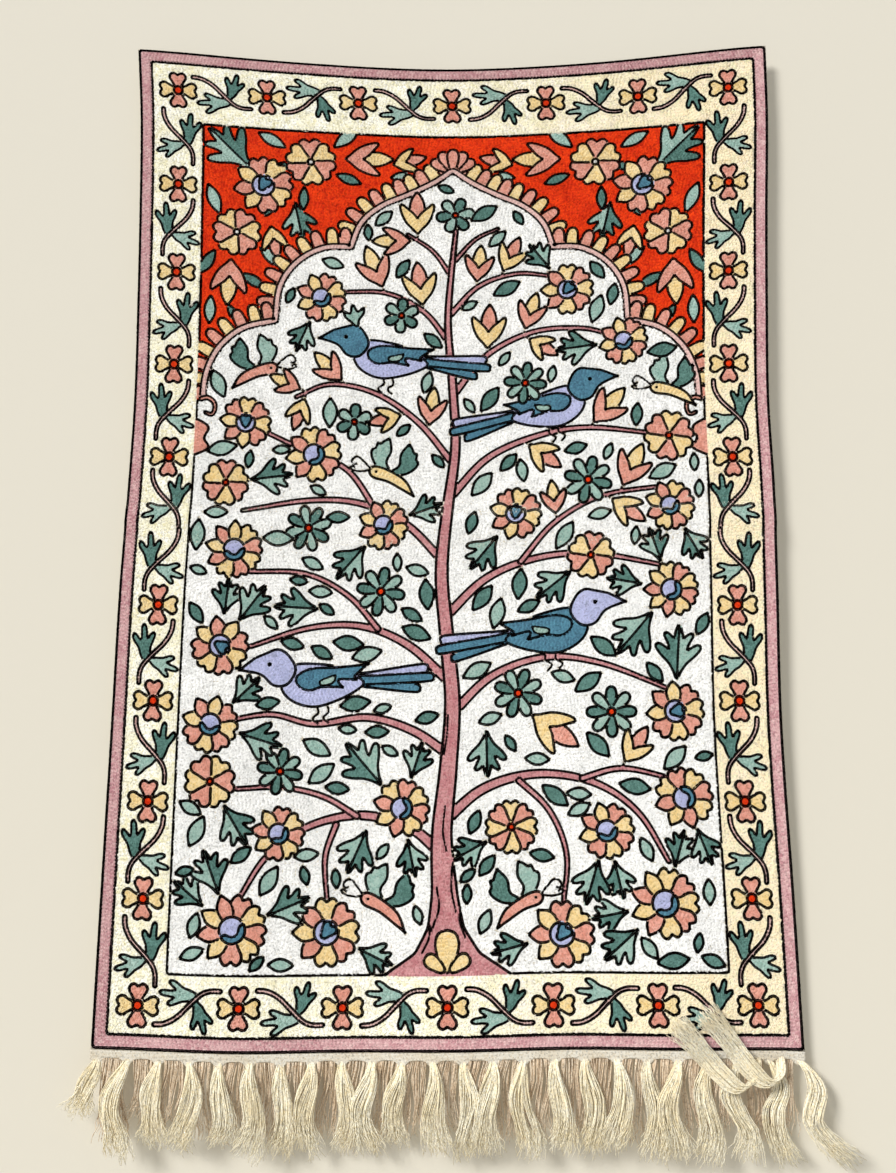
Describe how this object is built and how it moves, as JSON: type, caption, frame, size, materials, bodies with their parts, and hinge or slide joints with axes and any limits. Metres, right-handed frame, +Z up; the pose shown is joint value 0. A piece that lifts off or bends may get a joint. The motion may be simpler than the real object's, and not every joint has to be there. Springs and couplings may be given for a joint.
{
  "type": "embroidered wall hanging",
  "caption": "Chain-stitched cloth wall hanging with a flowering tree under a cusped arch, a floral border and a loose cotton fringe along its foot.",
  "frame": {"origin": "middle of the cloth's top edge, the lowest point of its sag between the two held corners", "axes": "+Z up, +X to the viewer's right, -Y out of the stitched face towards the viewer, +Y towards the wall"},
  "size_m": [0.6606, 0.029, 1.0178],
  "materials": {
    "stitched_cloth": "matte chain-stitched wool on cotton canvas",
    "cotton_yarn": "matte undyed cotton yarn"
  },
  "bodies": {
    "root": {"panel": "stitched_cloth", "fringe": "cotton_yarn"}
  },
  "joints": []
}
